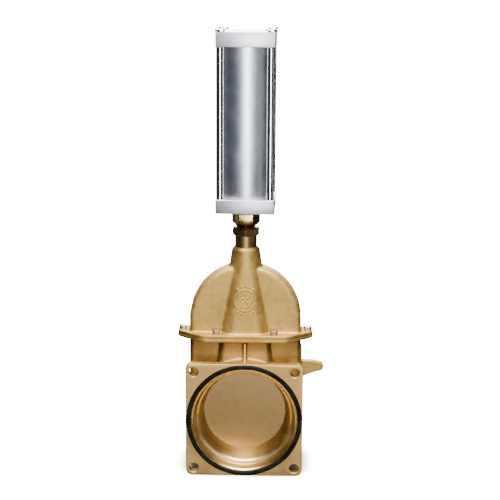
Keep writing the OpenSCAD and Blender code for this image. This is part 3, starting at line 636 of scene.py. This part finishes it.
head = hexPrism(fastener["flats"], fastener["headH"], fastener["chamfer"], flatFront=True)
shankR, length = fastener["shankR"], fastener["length"]
shank = lathe([(fastener["tipR"], -length), (shankR, 0.4 - length), (shankR, 0.5)], 24)
boltSeat = fastener["seat"] + fastener["washerT"]
bolts = copies(joined(head, shank), boltPlaces, boltSeat)
shadedOffStem(settle(bolts, "jointBolts", ["joint_bolts"]))
bore, outer, thick = fastener["washerBore"], fastener["washerR"], fastener["washerT"]
washer = lathe([(bore, 0), (outer, 0), (outer, thick), (bore, thick), (bore, 0)], 48, False)
washers = copies(softened(washer, 0.15, 2), boltPlaces, fastener["seat"])
shadedOffStem(settle(washers, "jointWashers", ["joint_washers"]))

# Gland nut
gland = {"flats": 29, "low": 198.1, "height": 9.3, "chamfer": 1.9, "shankR": 12.15, "shankLow": 185.82,
         "threadR": 9.95, "threadLow": 178.1, "bore": 6.3, "socketR": 9.5, "socketLow": 199.0}
print("stage: gland and adapter")
collar = placed(hexPrism(gland["flats"], gland["height"], gland["chamfer"], True, 0.3), z=gland["low"])
shankR, shankLow = gland["shankR"], gland["shankLow"]
shank = lathe([(gland["threadR"], gland["threadLow"]), (gland["threadR"], shankLow),
               (shankR - 0.15, shankLow), (shankR, shankLow + 0.18), (shankR, gland["low"] + 0.1)], 96)
boolean(collar, shank, "UNION")
boolean(collar, lathe([(gland["bore"], 170), (gland["bore"], gland["socketLow"]),
                       (gland["socketR"], gland["socketLow"]), (gland["socketR"], 209)], 64))
collar = settle(aboutStem(collar), "glandNut", ["gland_nut"])
painted(collar, glandBrass)

# Adapter: a hexagon with a cone below, between gland and cylinder
adapter = {"flats": 27, "low": 207.6, "wide": 213.2, "edge": 222.1, "top": 222.8, "coneR": 9.5,
           "threadR": 9.45, "threadLow": 199.0, "threadTop": 230.0, "bore": 6.3}
hexReach = adapter["flats"] / 2 / math.cos(math.pi / 6)
deselect()
hexHeight = adapter["top"] - adapter["low"]
bpy.ops.mesh.primitive_cylinder_add(vertices=6, radius=hexReach * mm, depth=hexHeight * mm,
                                    location=(0, 0, (adapter["low"] + hexHeight / 2) * mm))
fitting = bpy.context.object
bpy.ops.object.transform_apply(location=True)
placed(fitting, turn=(0, 0, 30))
bevelEdges(fitting, 0.3, 3, lambda m, way: abs(way.z) > 0.9)
envelope = lathe([(adapter["coneR"], adapter["low"]), (hexReach + 0.1, adapter["wide"]),
                  (hexReach + 0.1, adapter["edge"]), (hexReach - 1.0, adapter["top"])], 128)
boolean(fitting, envelope, "INTERSECT")
thread = [(adapter["threadR"], adapter["threadLow"]), (adapter["threadR"], adapter["threadTop"])]
boolean(fitting, lathe(thread, 64), "UNION")
boolean(fitting, lathe([(adapter["bore"], 190), (adapter["bore"], 235)], 64))
softened(fitting, 0.2, 2, 20)
fitting = settle(aboutStem(fitting), "cylinderAdapter", ["cylinder_adapter"])
painted(fitting, adapterBrass)

# Cylinder. Its turn about the stem is in degrees.
cylinder = {"turn": -1.5, "cap": 63, "capEdge": 0.9,
            "bore": 24, "tubeR": 26, "tubeLow": 239.5, "tubeTop": 404.7}
lowerCap = {"low": 226.5, "height": 15, "bossR": 17.5, "bossLow": 222.8, "port": 234,
            "bore": [(9.5, 220), (9.5, 230), (9.0, 230), (9.0, 233.5), (8.0, 233.5), (8.0, 238.5),
                     (26.05, 238.5), (26.05, 245)]}
upperCap = {"low": 402.7, "height": 16.2, "port": 410.8, "bore": [(26.05, 400), (26.05, 405.7)]}
airPort = {"tapR": 4.4, "crestR": 4.75, "mouthR": 5.2, "pitch": 0.9, "threadTo": 8.0, "depth": 9}
rod = {"at": 26.75, "radius": 4.25, "endR": 3, "tip": 421.3,
       "nutFlats": 10, "nutH": 2.4, "nutChamfer": 0.6, "nutBore": 3.05, "nutSeat": 418.9}
print("stage: cylinder")


# A cap's square block with its threaded air port, bored from the side of the tube.
def endCap(cap, boss=None):
    obj = block(0, 0, cap["low"] + cap["height"] / 2, cylinder["cap"], cylinder["cap"], cap["height"])
    bevelEdges(obj, cylinder["capEdge"], 2, lambda m, way: abs(way.z) > 0.9)
    softened(obj, 0.55, 3)
    if boss:
        boolean(obj, boss, "UNION")
    boolean(obj, lathe(cap["bore"], 96))
    boolean(obj, threadedPort(cap["port"]))
    return obj


def threadedPort(z):
    tap, pitch = airPort["tapR"], airPort["pitch"]
    profile = [(airPort["mouthR"], -1), (airPort["mouthR"], 0.01), (tap, 0.8)]
    depth = 0.8
    while depth < airPort["threadTo"]:
        profile += [(airPort["crestR"], depth + pitch / 2), (tap, depth + pitch)]
        depth += pitch
    profile += [(tap, airPort["depth"])]
    return placed(lathe(profile, 48), 0, cylinder["cap"] / 2, z, (90, 0, 0))


def onCylinder(obj, name, node, shader, outward=False):
    obj = settle(aboutStem(obj, cylinder["turn"]), name, [node], outward=outward)
    painted(obj, shader)
    return obj


boss = softened(lathe([(lowerCap["bossR"], lowerCap["bossLow"]), (lowerCap["bossR"], 228)], 96), 0.4, 3)
onCylinder(endCap(lowerCap, boss), "lowerCap", "lower_cap", lowerAlloy)
onCylinder(endCap(upperCap), "upperCap", "upper_cap", upperAlloy)

bore, outer, low, top = cylinder["bore"], cylinder["tubeR"], cylinder["tubeLow"], cylinder["tubeTop"]
tube = lathe([(bore, low), (outer, low), (outer, top), (bore, top), (bore, low)], 192, False)
onCylinder(tube, "cylinderTube", "cylinder_tube", tubeAlloy, outward=True)

rodPlaces = [(x * rod["at"], y * rod["at"]) for x in (-1, 1) for y in (-1, 1)]
low, high = lowerCap["low"] + lowerCap["height"], upperCap["low"]
endR, wide, tip = rod["endR"], rod["radius"], rod["tip"]
rodForm = lathe([(endR, low - 9), (endR, low), (wide - 0.35, low), (wide, low + 0.4), (wide, high - 0.4),
                 (wide - 0.35, high), (endR, high), (endR, tip - 0.4), (endR - 0.4, tip)], 48)
rods = onCylinder(copies(rodForm, rodPlaces), "tieRods", "tie_rods", chrome)
# Keeps the rods' bright lines from turning into stripes on the tube.
rods.visible_glossy = False
rodNut = hexPrism(rod["nutFlats"], rod["nutH"], rod["nutChamfer"], flatFront=True)
boolean(rodNut, lathe([(rod["nutBore"], -1), (rod["nutBore"], 5)], 32))
onCylinder(copies(rodNut, rodPlaces, rod["nutSeat"]), "tieRodNuts", "tie_rod_nuts", chrome)

# Camera, floor and light
view = {"place": (0.03459, -1.32203, 0.48491), "tilt": 12.52, "azimuth": -1.26, "roll": 0.33, "lens": 92.0}
ground = {"z": -0.0641, "front": -0.28, "length": 5.0, "frontHalf": 0.36, "spread": 0.30,
          "tone": (0.86, 0.86, 0.86), "glowNear": 15.22, "glowFar": 24.22, "near": 0.15, "far": 0.6}
# The contact shade painted on the floor under the valve: a painted shadow, tinted warm as a painted bounce
# from the brass
shade = {"halfX": 0.063, "halfY": 0.043, "from": 0.82, "to": 2.2,
         "tone": (0.05, 0.033, 0.018), "glow": (0.34, 0.27, 0.20)}
sky = {"tint": (0.85, 0.93, 1.0, 1), "ambient": 0.04, "backdrop": 24.0}
print("stage: camera and light")
tilt, azimuth, roll = (math.radians(view[k]) for k in ("tilt", "azimuth", "roll"))
forward = Vector((math.sin(azimuth) * math.cos(tilt), math.cos(azimuth) * math.cos(tilt), -math.sin(tilt)))
side = Vector((math.cos(azimuth), -math.sin(azimuth), 0))
upward = side.cross(forward)
right = side * math.cos(roll) + upward * math.sin(roll)
above = upward * math.cos(roll) - side * math.sin(roll)
cameraData = bpy.data.cameras.new("photoCamera")
cameraData.lens = view["lens"]
cameraData.sensor_width = 36
camera = bpy.data.objects.new("photoCamera", cameraData)
turned = Matrix((right, above, -forward)).transposed().to_4x4()
camera.matrix_world = Matrix.Translation(view["place"]) @ turned
bpy.context.scene.collection.objects.link(camera)
bpy.context.scene.camera = camera

deselect()
bpy.ops.mesh.primitive_grid_add(x_subdivisions=8, y_subdivisions=24, size=1, location=(0, 0, ground["z"]))
floor = bpy.context.object
floor.name = "studioFloor"
for vertex in floor.data.vertices:
    away = ground["length"] * (vertex.co.y + 0.5)
    half = ground["frontHalf"] + ground["spread"] * away
    vertex.co = (vertex.co.x * 2 * half, ground["front"] + away, 0)
floorPaint = Shader("StudioFloor", ground["tone"], 0.0, 0.9)
spot = floorPaint.position()


# The fourth power of a distance, as a share of the contact shade's half width.
def shadeShare(distance, half):
    share = floorPaint.math("DIVIDE", distance, half)
    square = floorPaint.math("MULTIPLY", share, share)
    return floorPaint.math("MULTIPLY", square, square)


across = shadeShare(spot["X"], shade["halfX"])
along = shadeShare(floorPaint.math("SUBTRACT", spot["Y"], stemY), shade["halfY"])
under = floorPaint.range(floorPaint.math("ADD", across, along), 0.0, 1.0, shade["from"], shade["to"])
# Painted shadow: the floor's colour turns dark and warm under the valve.
floorPaint.colour(floorPaint.blend(under, shade["tone"], ground["tone"]))
far = floorPaint.add("ShaderNodeVectorMath", operation="LENGTH")
floorPaint.link(floorPaint.place, far.inputs[0])
lit = floorPaint.range(far.outputs["Value"], ground["glowNear"], ground["glowFar"],
                       ground["near"], ground["far"])
seen = floorPaint.add("ShaderNodeEmission")
# Painted shadow and painted bounce: the glow seen by the camera fades and turns warm under the valve.
floorPaint.link(floorPaint.math("MULTIPLY", under, lit), seen.inputs["Strength"])
floorPaint.link(floorPaint.blend(under, shade["glow"], (1.0, 1.0, 1.0)), seen.inputs["Color"])
dark = floorPaint.add("ShaderNodeEmission")
dark.inputs["Strength"].default_value = 0.0
glow = floorPaint.add("ShaderNodeMixShader")
floorPaint.link(floorPaint.add("ShaderNodeLightPath").outputs["Is Camera Ray"], glow.inputs[0])
floorPaint.link(dark.outputs[0], glow.inputs[1])
floorPaint.link(seen.outputs[0], glow.inputs[2])
whole = floorPaint.add("ShaderNodeAddShader")
floorPaint.link(floorPaint.shader.outputs[0], whole.inputs[0])
floorPaint.link(glow.outputs[0], whole.inputs[1])
output = next(n for n in floorPaint.tree.nodes if n.type == "OUTPUT_MATERIAL")
floorPaint.link(whole.outputs[0], output.inputs[0])
floor.data.materials.append(floorPaint.material)
floor.visible_glossy = False

world = bpy.data.worlds.new("studioWorld")
bpy.context.scene.world = world
world.use_nodes = True
tree = world.node_tree
tree.nodes.clear()
rays = tree.nodes.new("ShaderNodeLightPath")
ambient = tree.nodes.new("ShaderNodeBackground")
ambient.inputs["Color"].default_value = sky["tint"]
ambient.inputs["Strength"].default_value = sky["ambient"]
white = tree.nodes.new("ShaderNodeBackground")
white.inputs["Strength"].default_value = sky["backdrop"]
mixer = tree.nodes.new("ShaderNodeMixShader")
worldOut = tree.nodes.new("ShaderNodeOutputWorld")
tree.links.new(rays.outputs["Is Camera Ray"], mixer.inputs[0])
tree.links.new(ambient.outputs[0], mixer.inputs[1])
tree.links.new(white.outputs[0], mixer.inputs[2])
tree.links.new(mixer.outputs[0], worldOut.inputs[0])


def softbox(name, place, target, width, height, watts, tint=(1, 1, 1)):
    data = bpy.data.lights.new(name, "AREA")
    data.shape = "RECTANGLE"
    data.size = width
    data.size_y = height
    data.energy = watts
    data.color = tint
    lamp = bpy.data.objects.new(name, data)
    lamp.location = place
    lamp.rotation_euler = (Vector(target) - Vector(place)).to_track_quat("-Z", "Y").to_euler()
    bpy.context.scene.collection.objects.link(lamp)
    lamp.visible_camera = False


softbox("topKey", (0.06, -0.58, 1.62), (0, 0.0, 0.12), 1.1, 0.6, 110.0, (1, 0.98, 0.94))
softbox("frontKey", (0.14, -1.70, 0.30), (0, 0.05, 0.30), 0.45, 0.80, 19.0, (0.97, 0.985, 1.0))
softbox("leftStrip", (-1.15, 0.62, 0.35), (0, 0.05, 0.25), 0.12, 1.3, 0.3)
softbox("rightStrip", (1.15, -0.36, 0.35), (0, 0.05, 0.25), 0.10, 1.3, 0.6)
softbox("backKey", (0.06, 1.75, 0.42), (0, 0.05, 0.22), 0.5, 1.3, 26.0)
softbox("backTop", (-0.15, 1.05, 1.55), (0, 0.05, 0.12), 1.0, 0.6, 60.0)

print("stage: finish")
